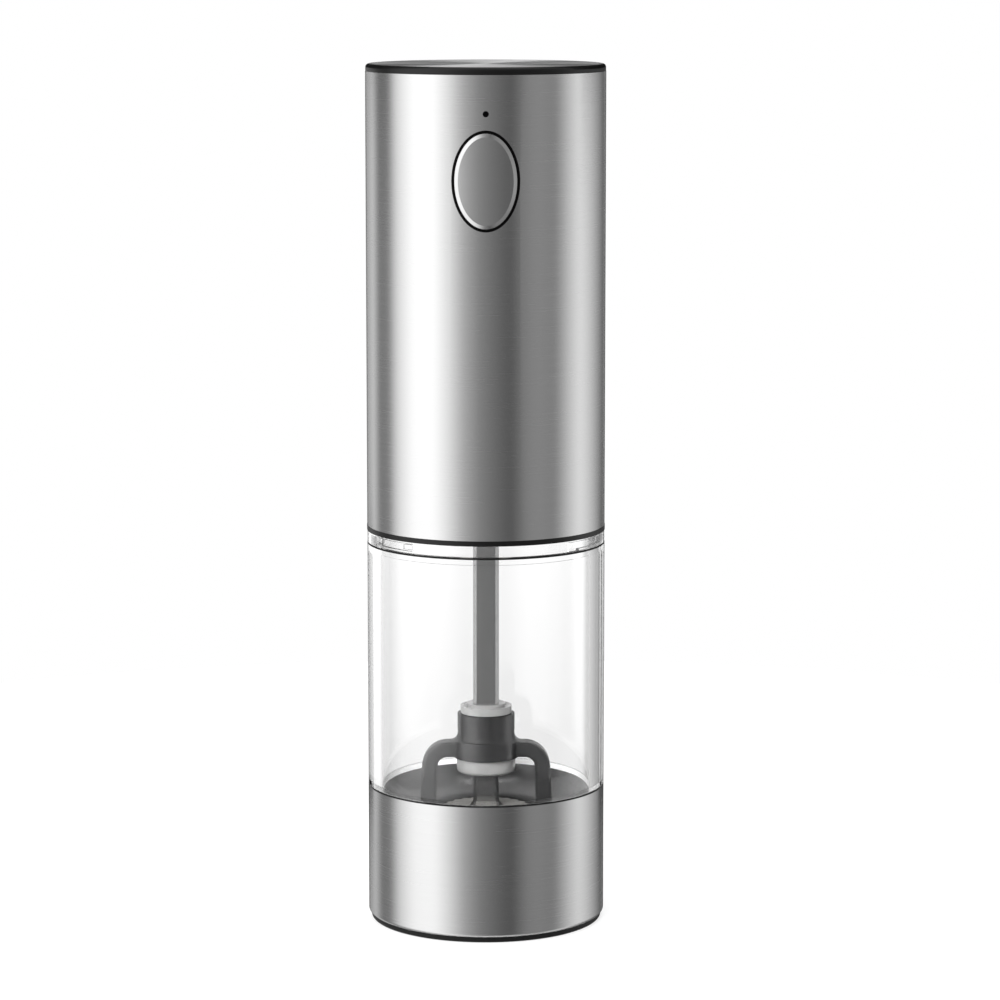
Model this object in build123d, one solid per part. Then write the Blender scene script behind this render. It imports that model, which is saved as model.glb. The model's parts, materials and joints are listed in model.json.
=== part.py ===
from build123d import *
import os
from math import acos, cos, degrees, pi, radians, sin, sqrt, tan

# Electric salt and pepper mill, standing on its foot ring.
# Millimetres, +Z up, origin at the centre of the underside, the button facing -Y.

# Body
body_diameter = 52.0
sleeve_wall = 0.6
edge_round = 0.8

# Clearances
fit_gap = 0.05       # between fixed pieces
shaft_gap = 0.06     # running fits, on the radius
run_gap = 0.3        # between pieces that move past each other
overrun = 1.0        # how far cuts run past a face

# Heights of the outside, from the floor up
foot_height = 1.3
base_height = 28.7
gasket_height = 0.4
jar_height = 53.5
seal_height = 0.35
neck_band_height = 2.5
head_ring_height = 1.1
head_height = 98.6
cap_height = 1.6

# Foot and base
foot_inset = 0.6
foot_width = 3.9
foot_tongue_height = 1.5
foot_tongue_inset = 1.4
foot_tongue_width = 1.5
base_lip_width = 1.5
base_core_height = 6.7
base_screw_count = 3
base_screw_inset = 5.75
base_screw_radius = 1.0
base_screw_head_radius = 2.0
base_screw_head_height = 1.4
base_screw_length = 12.0

# Jar
jar_wall = 3.0
neck_gap = 1.65
neck_wall = 1.5
neck_reach = 6.0
gasket_inset = 0.1
gasket_lip = 0.1
seal_inset = 0.05
lug_count = 3
lug_first_angle = -42.0
lug_width = 2.4
lug_height = 1.0
lug_depth = 0.75
twist_angle = 30.0

# Burr housing: funnel, bridge and hub
funnel_drop = 0.9
funnel_rim_width = 0.4
funnel_depth = 5.3
funnel_clear = 1.9
funnel_sag = 1.5
funnel_floor = 0.8
housing_wall = 1.5
stator_inset = 5.95
stator_seat = 3.0
hub_diameter = 12.6
hub_top_height = 3.8
hub_flare_height = 1.9
hub_low_diameter = 14.2
hub_low_height = 4.1
hub_round = 0.5
hub_clear = 8.3
arm_stand = 2.2
arm_drop = 0.6
arm_rise = 0.1
arm_leg_share = 0.436
arm_elbow_share = 0.718
arm_inner_share = 0.27
arm_splay = 2.5
arm_thickness = 5.0
arm_fillet_share = 0.205
arm_edge_round = 0.8
hub_bore_diameter = 9.4

# Drive shaft and its bushes
shaft_width = 5.64
shaft_chamfer = 0.77
spindle_diameter = 4.75
spindle_flat = 4.1
thread_diameter = 4.0
thread_pitch = 0.7
upper_bush_diameter = 11.3
upper_bush_height = 1.6
upper_bush_rim = 0.6
upper_bush_dish = 0.5
upper_collar_radius = 4.2
upper_collar_rise = 0.5
lower_bush_diameter = 13.0
lower_bush_height = 3.2
bush_sleeve_length = 4.2
bush_round = 0.8

# Burrs
rotor_rise = 1.15
rotor_top_share = 0.59
rotor_low_share = 0.735
burr_clearance = 0.8
rotor_teeth = 24
stator_teeth = 30
tooth_depth = 0.8
flute_width = 8.0
flute_end_share = 0.28
flute_height = 7.0
vane_width = 4.4
vane_reach = 7.3
vane_rise = 1.9
drive_depth = 3.0
rotor_drop = 1.0

# Adjust knob, under the rotor burr
knob_diameter = 13.0
knob_height = 3.8
knob_ridges = 18
knob_ridge_radius = 0.5
knob_floor_gap = 1.0
knob_neck_radius = 3.3
knob_collar_radius = 4.4
knob_collar_height = 1.2
clip_height = 0.8
clip_outer_radius = 5.0
clip_gap = 0.1

# Head floor, neck ring and head ring
head_ring_proud = 0.05
neck_skirt_top_gap = 0.7
head_floor_height = 3.0
socket_diameter = 12.0
socket_drop = 2.4
seal_width = 2.4
floor_seal_height = 1.6

# Gearbox: two planetary stages of the same teeth
gear_module = 0.6
sun_teeth = 12
planet_teeth = 18
ring_teeth = 48
pressure_angle = 20.0
gear_backlash = 0.22
addendum_share = 0.8
dedendum_share = 1.2
planet_count = 3
case_diameter = 39.0
case_floor = 2.2
bearing_outer_radius = 9.0
carrier_diameter = 25.0
carrier_height = 1.9
planet_width = 4.6
gear_side_gap = 0.3
pin_radius = 1.5
pin_end_gap = 0.2
gearbox_lid_height = 2.0
gearbox_screw_count = 3
gearbox_screw_radius = 1.0
gearbox_screw_head_radius = 1.7
gearbox_screw_head_height = 1.2
gearbox_screw_inset = 2.2

# Motor
motor_diameter = 24.4
motor_wall = 0.8
motor_can_length = 25.0
motor_bell_length = 4.0
motor_shaft_radius = 1.0
motor_boss_radius = 3.0
magnet_height = 1.7
magnet_angle = 130.0
magnet_end_gap = 3.0
armature_gap = 0.5
armature_poles = 3
armature_core_radius = 3.4
armature_arm_width = 2.6
armature_crown = 1.7
armature_crown_angle = 96.0
armature_length = 14.0
armature_lift = 5.0
winding_overhang = 1.0
bell_cavity_depth = 2.0
winding_gap = 0.2
winding_width = 2.0
commutator_radius = 2.6
commutator_length = 4.5
commutator_gap = 0.6
terminal_width = 2.2
terminal_thickness = 0.4
terminal_height = 2.6
terminal_spread = 8.0
terminal_setback = 6.0
motor_screw_spread = 8.0
motor_screw_radius = 0.9
motor_screw_head_radius = 1.6
motor_screw_head_height = 1.0

# Chassis and battery
chassis_wall = 1.6
shelf_gap = 3.4
shelf_height = 2.0
cradle_share = 0.5
cradle_height = 3.0
boss_radius = 2.6
boss_depth = 4.0
boss_lift_shares = (0.34, 0.9)
chassis_screw_radius = 0.9
chassis_screw_head_radius = 1.5
chassis_screw_head_height = 1.0
cell_boss_gap = 1.85
cell_top_gap = 4.05
cell_cap_radius = 2.6
cell_cap_height = 0.8
cell_side_gap = 0.6
strap_thickness = 0.3
strap_width = 6.0
chassis_rim = 0.3
cap_rim_width = 1.4
cap_round = 0.8
top_disc_thickness = 0.6

# Control board, button and light
button_width = 14.4
button_tall = 21.25
button_drop = 22.2
button_outline = 0.6
button_bevel_width = 0.75
button_bevel_depth = 0.38
button_proud = 0.45
button_travel = 0.5
button_plate = 1.6
button_wall = 1.2
button_gap = 0.12
button_flange = 0.8
button_flange_height = 0.8
bezel_depth = 3.2
bezel_flange = 1.6
bezel_flange_height = 0.8
stem_radius = 1.6
light_gap = 3.45
light_diameter = 1.3
board_thickness = 1.6
board_width = 23.0
board_inset = 11.0
board_tail = 4.2
board_margin = 1.4
rail_width = 2.6
board_screw_radius = 0.8
board_screw_head_radius = 1.4
board_screw_head_height = 0.9
board_screw_inset = 3.0
board_screw_grip = 3.6
switch_width = 6.0
switch_depth = 3.4
plunger_radius = 1.75
plunger_stand = 0.9
plunger_engage = 0.3
plunger_end_gap = 0.4
led_width = 2.0
led_depth = 1.2
pipe_flange_radius = 1.5
pipe_flange_depth = 0.8

# Charge socket, at the back
port_drop = 26.5
port_width = 8.94
port_tall = 3.26
port_depth = 7.3
port_wall = 0.35
port_tongue_width = 6.7
port_tongue_height = 0.7
port_tongue_depth = 4.4
port_margin = 0.4
charge_board_width = 15.0
charge_board_below = 6.0
charge_board_above = 6.0
charge_board_thickness = 1.2

# Leads
lead_radius = 0.7
lead_bend_radius = 2.0
lead_rise = 2.2
lead_gap = 0.1

# Levels and radii that follow from the sizes above
body_radius = body_diameter / 2
sleeve_inner = body_radius - sleeve_wall
inner_fit = sleeve_inner - fit_gap
base_top = foot_height + base_height
jar_bottom = base_top + gasket_height
jar_top = jar_bottom + jar_height
seal_top = jar_top + seal_height
band_low = seal_top + shaft_gap
band_top = band_low + neck_band_height
head_low = band_top + head_ring_height
head_top = head_low + head_height
total_height = head_top + cap_height

button_height = head_top - button_drop
light_height = button_height + button_tall / 2 + light_gap
port_height = head_top - port_drop

core_low = foot_height + sleeve_wall
core_top = foot_height + base_core_height
jar_inner = body_radius - jar_wall
neck_bore = body_radius - neck_gap
neck_outer = neck_bore - run_gap
neck_inner = neck_outer - neck_wall
neck_top = seal_top + neck_reach
lug_middle = (band_low + band_top) / 2

housing_radius = jar_inner - fit_gap
stator_radius = housing_radius - stator_inset
outlet_radius = stator_radius - stator_seat
rotor_top_radius = stator_radius * rotor_top_share
rotor_low_radius = stator_radius * rotor_low_share
funnel_hole_radius = rotor_top_radius + funnel_clear
base_screw_circle = inner_fit - base_screw_inset
arm_reach = funnel_hole_radius + arm_stand
arm_span = arm_reach - hub_diameter / 2
rim_level = base_top - funnel_drop + gasket_height
funnel_level = rim_level - funnel_depth
stator_top = funnel_level - funnel_floor
stator_low = core_top
hub_low = funnel_level + hub_clear + lower_bush_height + run_gap
hub_low_top = hub_low + hub_low_height
hub_flare_top = hub_low_top + hub_flare_height
hub_top = hub_flare_top + hub_top_height
lower_bush_top = hub_low - run_gap / 2
lower_bush_low = lower_bush_top - lower_bush_height

rotor_low = core_top - rotor_drop
rotor_top = stator_top + rotor_rise
flute_low = rotor_top - flute_height
bar_low = flute_low - drive_depth
knob_low = knob_floor_gap
knob_top = knob_low + knob_height
lift_range = thread_pitch

floor_low = neck_top + neck_skirt_top_gap
floor_top = floor_low + head_floor_height
case_low = floor_top
carrier_2_low = case_low + case_floor + gear_side_gap
carrier_2_top = carrier_2_low + carrier_height
planet_2_low = carrier_2_top + gear_side_gap
planet_2_top = planet_2_low + planet_width
carrier_1_low = planet_2_top + gear_side_gap
carrier_1_top = carrier_1_low + carrier_height
planet_1_low = carrier_1_top + gear_side_gap
planet_1_top = planet_1_low + planet_width
case_top = planet_1_top + gear_side_gap
lid_top = case_top + gearbox_lid_height
can_top = lid_top + motor_can_length
motor_top = can_top + motor_bell_length
shelf_low = motor_top + shelf_gap
shelf_top = shelf_low + shelf_height

motor_radius = motor_diameter / 2
case_radius = case_diameter / 2
chassis_inner = inner_fit - chassis_wall
gear_centre = gear_module * (sun_teeth + planet_teeth) / 2
gearbox_screw_circle = case_radius - gearbox_screw_inset

board_front = board_inset - body_radius
board_back = board_front + board_thickness
board_low = button_height - button_tall / 2 - board_tail
board_top = light_height + board_margin
chassis_top = board_top + chassis_rim
cell_radius = (chassis_inner - 2 * boss_radius - cell_boss_gap - cell_side_gap / 2) / 2
cell_offset = cell_radius + cell_side_gap / 2
cell_low = shelf_top + strap_thickness
cell_top = head_top - cell_top_gap - strap_thickness - cell_cap_height

shaft_top = carrier_2_low - fit_gap
socket_radius = socket_diameter / 2
socket_low = floor_low - socket_drop
first_planet_angle = 90.0
clip_low = rotor_low + clip_gap
collar_low = clip_low + clip_height + clip_gap
collar_top = collar_low + knob_collar_height
thread_top = collar_top + lift_range + run_gap
thread_low = knob_low + lift_range + clip_gap
armature_radius = motor_radius - motor_wall - fit_gap - magnet_height - armature_gap
armature_low = lid_top + motor_wall + armature_lift
armature_top = armature_low + armature_length
switch_face = board_front - switch_depth
plunger_front = switch_face - plunger_stand
bezel_inner = body_radius - bezel_depth
cap_inner = bezel_inner - run_gap - button_flange_height
port_mouth = inner_fit
port_front = port_mouth - port_depth
charge_back = port_front - charge_board_thickness
cell_setback = (charge_back - terminal_setback + lead_radius) / 2
charge_low = port_height - charge_board_below
charge_top = port_height + charge_board_above


# Shapes that repeat

def rod(radius, low, high):
    return Pos(0, 0, low) * extrude(Circle(radius), high - low)


def tube(outer, inner, low, high):
    return Pos(0, 0, low) * extrude(Circle(outer) - Circle(inner), high - low)


def rod_along_y(radius, x, z, front, back):
    return Pos(x, front, z) * Rot(-90, 0, 0) * extrude(Circle(radius), back - front)


def block(x_low, x_high, y_low, y_high, z_low, z_high):
    corner_first = (Align.MIN, Align.MIN, Align.MIN)
    return Pos(x_low, y_low, z_low) * Box(x_high - x_low, y_high - y_low, z_high - z_low, align=corner_first)


def turned(points):
    """A solid of revolution about the Z axis, from its half section in X and Z."""
    return revolve(Plane.XZ * make_face(Polyline(*points, close=True)), Axis.Z)


def sector_ring(outer, inner, low, high, start, sweep_angle):
    """Part of a ring, from one angle about Z through another, measured from -Y towards +X."""
    middle = ((outer + inner) / 2, (low + high) / 2)
    section = Plane.XZ * Pos(*middle) * Rectangle(outer - inner, high - low)
    return Rot(0, 0, start - 90) * revolve(section, Axis.Z, revolution_arc=sweep_angle)


def around(shape, count, first_angle=0.0):
    """Equal copies of a shape about the Z axis."""
    return [Rot(0, 0, first_angle + 360 * i / count) * shape for i in range(count)]


def group(shapes):
    return Compound(children=list(shapes))


def write(name, shape):
    export_step(shape, "parts/" + name + ".step")


def screw(x, y, low, length, radius, head_radius, head_height):
    """A pan-head screw standing on its tip, its head at the upper end, with a cross slot."""
    shank = rod(radius, low, low + length)
    head = rod(head_radius, low + length, low + length + head_height)
    slot = block(-head_radius / 2, head_radius / 2, -radius / 4, radius / 4,
                 low + length + head_height / 2, low + length + head_height + overrun)
    return Pos(x, y, 0) * (shank + head - slot - Rot(0, 0, 90) * slot)


def gear_outline(teeth, thickness_change, tip_share, root_share):
    """A gear's face: involute flanks between the root and tip circles, one tooth centred on +X."""
    pitch_radius = gear_module * teeth / 2
    base_radius = pitch_radius * cos(radians(pressure_angle))
    tip = pitch_radius + gear_module * tip_share
    root = pitch_radius - gear_module * root_share
    half_pitch_angle = (pi * gear_module / 2 + thickness_change) / (2 * pitch_radius)
    pressure = radians(pressure_angle)
    half_base_angle = half_pitch_angle + tan(pressure) - pressure
    start = max(root, base_radius)
    flank_steps = 4
    flank = []
    for i in range(flank_steps + 1):
        radius = start + (tip - start) * i / flank_steps
        roll = acos(min(1.0, base_radius / radius))
        flank.append((radius, half_base_angle - (tan(roll) - roll)))
    if root < base_radius:
        flank.insert(0, (root, flank[0][1]))
    points = []
    for k in range(teeth):
        centre = 2 * pi * k / teeth
        for radius, angle in flank:
            points.append((radius * cos(centre - angle), radius * sin(centre - angle)))
        for radius, angle in reversed(flank):
            points.append((radius * cos(centre + angle), radius * sin(centre + angle)))
    return make_face(Polyline(*points, close=True))


def gear(teeth, low, high):
    outline = gear_outline(teeth, -gear_backlash / 2, addendum_share, dedendum_share)
    return Pos(0, 0, low) * extrude(outline, high - low)


def toothed_cone(low_radius, high_radius, low, high, teeth, depth):
    """A cone with straight V grooves, its ridges on the given radii."""
    def outline(radius):
        points = []
        for k in range(2 * teeth):
            reach = radius - depth * (k % 2)
            points.append((reach * cos(pi * k / teeth), reach * sin(pi * k / teeth)))
        return make_face(Polyline(*points, close=True))
    return loft([Pos(0, 0, low) * outline(low_radius), Pos(0, 0, high) * outline(high_radius)], ruled=True)


def button_oval(margin):
    """The button's oval seen from the front, extruded from the axis out past the sleeve."""
    oval = Ellipse(button_width / 2 + margin, button_tall / 2 + margin)
    return Pos(0, 0, button_height) * extrude(Plane.XZ * oval, body_radius + 2 * overrun)


def port_outline(width, tall):
    """The charge socket's rounded slot, seen along Y."""
    return Plane.XZ * SlotOverall(width, tall)


def port_solid(margin, front, back):
    face = port_outline(port_width + 2 * margin, port_tall + 2 * margin)
    return Pos(0, back, port_height) * extrude(face, back - front)


# Foot and base

def make_foot_ring():
    outer = body_radius - foot_inset
    ring = tube(outer, outer - foot_width, 0, foot_height)
    ring = fillet(ring.edges().group_by(Axis.Z)[0].sort_by(SortBy.RADIUS)[-1], foot_inset)
    tongue_outer = outer - foot_tongue_inset
    return ring + tube(tongue_outer, tongue_outer - foot_tongue_width, 0, foot_height + foot_tongue_height)


def make_base_sleeve():
    sleeve = turned([(sleeve_inner, foot_height), (body_radius, foot_height), (body_radius, base_top),
                     (sleeve_inner, jar_bottom - gasket_lip - fit_gap)])
    lip = tube(body_radius, body_radius - base_lip_width, foot_height, core_low)
    sleeve = sleeve + lip
    outer_edge = sleeve.edges().group_by(Axis.Z)[0].sort_by(SortBy.RADIUS)[-1]
    return fillet(outer_edge, min(edge_round, base_lip_width / 2))


def base_screw_places():
    return [90 + 360 * i / base_screw_count for i in range(base_screw_count)]


def make_base_core():
    lip_inner = body_radius - base_lip_width - fit_gap
    core = tube(inner_fit, outlet_radius, core_low + fit_gap, core_top)
    core = core + tube(lip_inner, outlet_radius, foot_height, core_top)
    tongue_outer = body_radius - foot_inset - foot_tongue_inset
    groove = tube(tongue_outer + fit_gap, tongue_outer - foot_tongue_width - fit_gap,
                  foot_height - overrun, foot_height + foot_tongue_height + fit_gap)
    head_pocket = rod(base_screw_head_radius + fit_gap, foot_height - overrun,
                      foot_height + base_screw_head_height + fit_gap)
    hole = rod(base_screw_radius + fit_gap, foot_height, core_top + overrun)
    core = core - groove
    for angle in base_screw_places():
        core = core - Rot(0, 0, angle) * Pos(base_screw_circle, 0, 0) * (head_pocket + hole)
    return core


def make_base_screws():
    """Each screw is drawn head up, then turned over so that it points up into the housing."""
    upright = screw(0, 0, -base_screw_length, base_screw_length, base_screw_radius,
                    base_screw_head_radius, base_screw_head_height)
    seated = Pos(base_screw_circle, 0, foot_height + base_screw_head_height) * Rot(180, 0, 0) * upright
    return group(Rot(0, 0, angle) * seated for angle in base_screw_places())


# Jar

def lug_places():
    return [lug_first_angle + 360 * k / lug_count for k in range(lug_count)]


def make_jar():
    spigot = tube(inner_fit, jar_inner, core_top, jar_bottom)
    wall = tube(body_radius, jar_inner, jar_bottom, jar_top)
    shoulder = tube(body_radius, neck_inner, jar_top - neck_wall, jar_top)
    neck = tube(neck_outer, neck_inner, jar_top - neck_wall, neck_top)
    jar = spigot + wall + shoulder + neck
    half_angle = degrees(lug_width / neck_outer / 2)
    for angle in lug_places():
        jar = jar + sector_ring(neck_outer + lug_depth, neck_inner, lug_middle - lug_height / 2,
                                lug_middle + lug_height / 2, angle - half_angle, 2 * half_angle)
    return jar


def make_seam_gasket():
    outer = body_radius - gasket_inset
    inner = sleeve_inner + fit_gap
    return turned([(inner, jar_bottom - gasket_lip), (outer, base_top + fit_gap), (outer, jar_bottom),
                   (inner, jar_bottom)])


def make_jar_seal():
    return tube(body_radius - seal_inset, neck_outer + fit_gap, jar_top, seal_top)


# Burr housing

def make_burr_housing():
    hole = funnel_hole_radius
    rim_inner = housing_radius - funnel_rim_width
    middle = ((rim_inner + hole) / 2 + funnel_sag / 2, (rim_level + funnel_level) / 2 - funnel_sag)
    outline = [Line((hole, funnel_level), (hole, stator_top)),
               Line((hole, stator_top), (stator_radius, stator_top)),
               Line((stator_radius, stator_top), (stator_radius, core_top)),
               Line((stator_radius, core_top), (housing_radius, core_top)),
               Line((housing_radius, core_top), (housing_radius, rim_level)),
               Line((housing_radius, rim_level), (rim_inner, rim_level)),
               ThreePointArc((rim_inner, rim_level), middle, (hole, funnel_level))]
    funnel = revolve(Plane.XZ * make_face(outline), Axis.Z)
    cavity = tube(housing_radius - housing_wall, stator_radius + housing_wall,
                  core_top - overrun, stator_top - housing_wall)
    boss = Pos(base_screw_circle, 0, 0) * rod(base_screw_head_radius + housing_wall, 0, base_top)
    for post in around(boss, base_screw_count, base_screw_places()[0]):
        cavity = cavity - post
    funnel = funnel - cavity
    tip = foot_height + base_screw_head_height + base_screw_length
    pilot = Pos(base_screw_circle, 0, 0) * rod(base_screw_radius + fit_gap, core_top - overrun, tip + fit_gap)
    for bore in around(pilot, base_screw_count, base_screw_places()[0]):
        funnel = funnel - bore
    bridge_hub = make_hub()
    bridge = bridge_hub + make_arm() + Rot(0, 0, 180) * make_arm()
    return funnel + bridge - rod(hub_bore_diameter / 2, hub_low - overrun, hub_top + overrun)


def make_hub():
    """The bridge's hub: a wider ring below, rounded over and swept up into a narrower neck."""
    low = hub_low_diameter / 2
    neck = hub_diameter / 2
    turn = hub_round * (1 - sqrt(0.5))
    sweep_share = 0.25
    shoulder = (low - hub_round, hub_low_top)
    hollow = (neck + (shoulder[0] - neck) * sweep_share, hub_low_top + hub_flare_height * sweep_share)
    outline = [Line((0, hub_low), (low, hub_low)),
               Line((low, hub_low), (low, hub_low_top - hub_round)),
               ThreePointArc((low, hub_low_top - hub_round), (low - turn, hub_low_top - turn), shoulder),
               ThreePointArc(shoulder, hollow, (neck, hub_flare_top)),
               Line((neck, hub_flare_top), (neck, hub_top)),
               Line((neck, hub_top), (0, hub_top)),
               Line((0, hub_top), (0, hub_low))]
    return revolve(Plane.XZ * make_face(outline), Axis.Z)


def make_arm():
    """One arm of the bridge, seen from the front: out of the hub, round the elbow, down a splayed leg."""
    arm_top = hub_low_top - arm_drop
    arm_low = hub_low + arm_rise
    corner = hub_diameter / 2
    root = hub_bore_diameter / 2 - overrun
    foot = funnel_level - funnel_floor / 2
    splay = radians(arm_splay)
    leg = arm_span * arm_leg_share
    elbow = arm_span * arm_elbow_share
    inside = arm_span * arm_inner_share
    web_round = arm_span * arm_fillet_share

    def on_arc(centre, radius, angle):
        return (centre[0] + radius * cos(angle), centre[1] + radius * sin(angle))

    def down_leg(start):
        return (start[0] + (start[1] - foot) * tan(splay), foot)

    eighth = pi / 4
    web = (corner + web_round, arm_top + web_round)
    outer = (arm_reach - elbow, arm_top - elbow)
    inner = (arm_reach - leg - inside, arm_low - inside)
    outer_end = on_arc(outer, elbow, splay)
    inner_end = on_arc(inner, inside, splay)
    outline = [Line((root, web[1]), (corner, web[1])),
               ThreePointArc((corner, web[1]), on_arc(web, web_round, 5 * eighth), (web[0], arm_top)),
               Line((web[0], arm_top), (outer[0], arm_top)),
               ThreePointArc((outer[0], arm_top), on_arc(outer, elbow, eighth), outer_end),
               Line(outer_end, down_leg(outer_end)),
               Line(down_leg(outer_end), down_leg(inner_end)),
               Line(down_leg(inner_end), inner_end),
               ThreePointArc(inner_end, on_arc(inner, inside, eighth), (inner[0], arm_low)),
               Line((inner[0], arm_low), (root, arm_low)),
               Line((root, arm_low), (root, web[1]))]
    arm = Pos(0, arm_thickness / 2, 0) * extrude(Plane.XZ * make_face(outline), arm_thickness)
    sides = arm.edges().group_by(Axis.Y)
    shown = [edge for edge in sides[0] + sides[-1] if edge.center().X > corner and edge.center().Z > foot]
    return fillet(shown, arm_edge_round)


# Drive shaft, bushes and burrs

def flatted_round(margin):
    """The spindle's section: a round with two flats, grown by a margin for the hole that slides on it."""
    flats = Rectangle(spindle_flat + 2 * margin, spindle_diameter + 2 * margin)
    return Circle(spindle_diameter / 2 + margin) & flats


def square_bar(low, high, gap):
    """A length of the square bar, grown by a gap all round for a hole that takes it."""
    width = shaft_width + 2 * gap
    return Pos(0, 0, low) * extrude(chamfer(Rectangle(width, width).vertices(), shaft_chamfer), high - low)


def make_drive_shaft():
    square = square_bar(bar_low, shaft_top, 0)
    spindle = Pos(0, 0, thread_top) * extrude(flatted_round(0), bar_low - thread_top)
    return square + spindle + rod(thread_diameter / 2, thread_low, thread_top)


def make_upper_bush():
    low = hub_top + run_gap / 2
    high = low + upper_bush_height
    outer = upper_bush_diameter / 2
    sleeve = hub_bore_diameter / 2 - shaft_gap
    collar_top = high + upper_collar_rise
    bush = turned([(0, hub_top - bush_sleeve_length), (sleeve, hub_top - bush_sleeve_length), (sleeve, low),
                   (outer, low), (outer, high), (outer - upper_bush_rim, high),
                   (upper_collar_radius, high - upper_bush_dish), (upper_collar_radius, collar_top),
                   (0, collar_top)])
    return bush - square_bar(hub_top - bush_sleeve_length - overrun, collar_top + overrun, fit_gap)


def make_lower_bush():
    flange = rod(lower_bush_diameter / 2, lower_bush_low, lower_bush_top)
    flange = fillet(flange.edges().group_by(Axis.Z)[0], bush_round)
    sleeve = rod(hub_bore_diameter / 2 - shaft_gap, lower_bush_top, lower_bush_top + bush_sleeve_length)
    sleeve_top = lower_bush_top + bush_sleeve_length
    return flange + sleeve - square_bar(lower_bush_low - overrun, sleeve_top + overrun, fit_gap)


def rotor_radius(level):
    """The rotor burr's outer radius at a level: a cone, wider at the bottom."""
    share = (level - rotor_low) / (rotor_top - rotor_low)
    return rotor_low_radius + (rotor_top_radius - rotor_low_radius) * share


def make_flute():
    """The slot across the burr's top that feeds it: widest at the shaft, narrower outwards."""
    middle = flute_width / 2
    end = middle * flute_end_share
    plan = Polygon((middle, 0), (end, stator_radius), (-end, stator_radius), (-middle, 0),
                   (-end, -stator_radius), (end, -stator_radius), align=None)
    return Pos(0, 0, flute_low) * extrude(plan, flute_height + overrun)


def make_rotor_burr():
    burr = toothed_cone(rotor_radius(rotor_low), rotor_radius(rotor_top), rotor_low, rotor_top,
                        rotor_teeth, tooth_depth)
    vane_top = rotor_top + vane_rise
    vane = block(-vane_width / 2, vane_width / 2, -vane_reach, vane_reach, bar_low, vane_top)
    burr = burr - make_flute() + vane
    socket = square_bar(bar_low - lift_range - run_gap, vane_top + overrun, shaft_gap)
    pocket = rod(clip_outer_radius + fit_gap, rotor_low - overrun, collar_top + clip_gap)
    hole = Pos(0, 0, rotor_low) * extrude(flatted_round(shaft_gap), rotor_top - rotor_low + overrun)
    return burr - pocket - hole - socket


def make_stator_burr():
    ring = rod(stator_radius - fit_gap, stator_low, stator_top)
    step_out = burr_clearance + tooth_depth
    low = stator_low - overrun
    high = stator_top + overrun
    return ring - toothed_cone(rotor_radius(low) + step_out, rotor_radius(high) + step_out, low, high,
                               stator_teeth, tooth_depth)


def make_adjust_knob():
    grip = rod(knob_diameter / 2, knob_low, knob_top)
    groove = Pos(knob_diameter / 2, 0, 0) * rod(knob_ridge_radius, knob_low - overrun, knob_top + overrun)
    for cut in around(groove, knob_ridges):
        grip = grip - cut
    neck = rod(knob_neck_radius, knob_top, collar_low)
    collar = rod(knob_collar_radius, collar_low, collar_top)
    thread = rod(thread_diameter / 2 + shaft_gap, knob_low - overrun, collar_top + overrun)
    return grip + neck + collar - thread


def make_rotor_clip():
    return tube(clip_outer_radius, knob_neck_radius + run_gap, clip_low, clip_low + clip_height)


# Head shell

def make_neck_ring():
    ring = tube(body_radius - seal_inset, neck_bore, band_low, band_top)
    ring = ring + tube(inner_fit, neck_bore, band_top, floor_low)
    half_angle = degrees((lug_width / 2 + run_gap) / neck_outer)
    groove_low = lug_middle - lug_height / 2 - run_gap
    groove_high = lug_middle + lug_height / 2 + run_gap
    groove_outer = neck_outer + lug_depth + run_gap
    for angle in lug_places():
        start = angle - twist_angle - half_angle
        ring = ring - sector_ring(groove_outer, neck_inner, groove_low, groove_high,
                                  start, twist_angle + 2 * half_angle)
        ring = ring - sector_ring(groove_outer, neck_inner, band_low - overrun, groove_high,
                                  start, 2 * half_angle)
    return ring


def make_head_ring():
    return tube(body_radius + head_ring_proud, inner_fit + fit_gap, band_top, head_low)


def make_head_floor():
    plate = tube(inner_fit, socket_radius + run_gap, floor_low, floor_top)
    plate = plate - rod(socket_radius + seal_width, floor_top - floor_seal_height, floor_top + overrun)
    for hole in gearbox_screw_holes(floor_low - overrun, floor_top + overrun):
        plate = plate - hole
    return plate


def make_floor_seal():
    return tube(socket_radius + seal_width - fit_gap, socket_radius + shaft_gap,
                floor_top - floor_seal_height, floor_top)


def make_head_sleeve():
    sleeve = tube(body_radius, sleeve_inner, head_low, head_top)
    sleeve = sleeve - button_oval(fit_gap)
    sleeve = sleeve - rod_along_y(light_diameter / 2, 0, light_height, -body_radius - overrun, 0)
    return sleeve - port_solid(port_margin, 0, body_radius + overrun)


def make_top_cap():
    rim = body_radius - seal_inset
    flange = rod(rim, head_top, total_height)
    flange = fillet(flange.edges().group_by(Axis.Z)[-1], min(cap_round, cap_height / 2))
    flange = flange - rod(rim - cap_rim_width, total_height - top_disc_thickness, total_height + overrun)
    return flange + tube(inner_fit, chassis_inner, chassis_top, head_top)


def make_top_disc():
    radius = body_radius - seal_inset - cap_rim_width - fit_gap
    return rod(radius, total_height - top_disc_thickness, total_height)


# Chassis

def chassis_boss_places():
    reach = chassis_inner - boss_radius
    levels = [floor_top + (chassis_top - floor_top) * share for share in boss_lift_shares]
    return [(side * reach, level) for side in (-1, 1) for level in levels]


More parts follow.
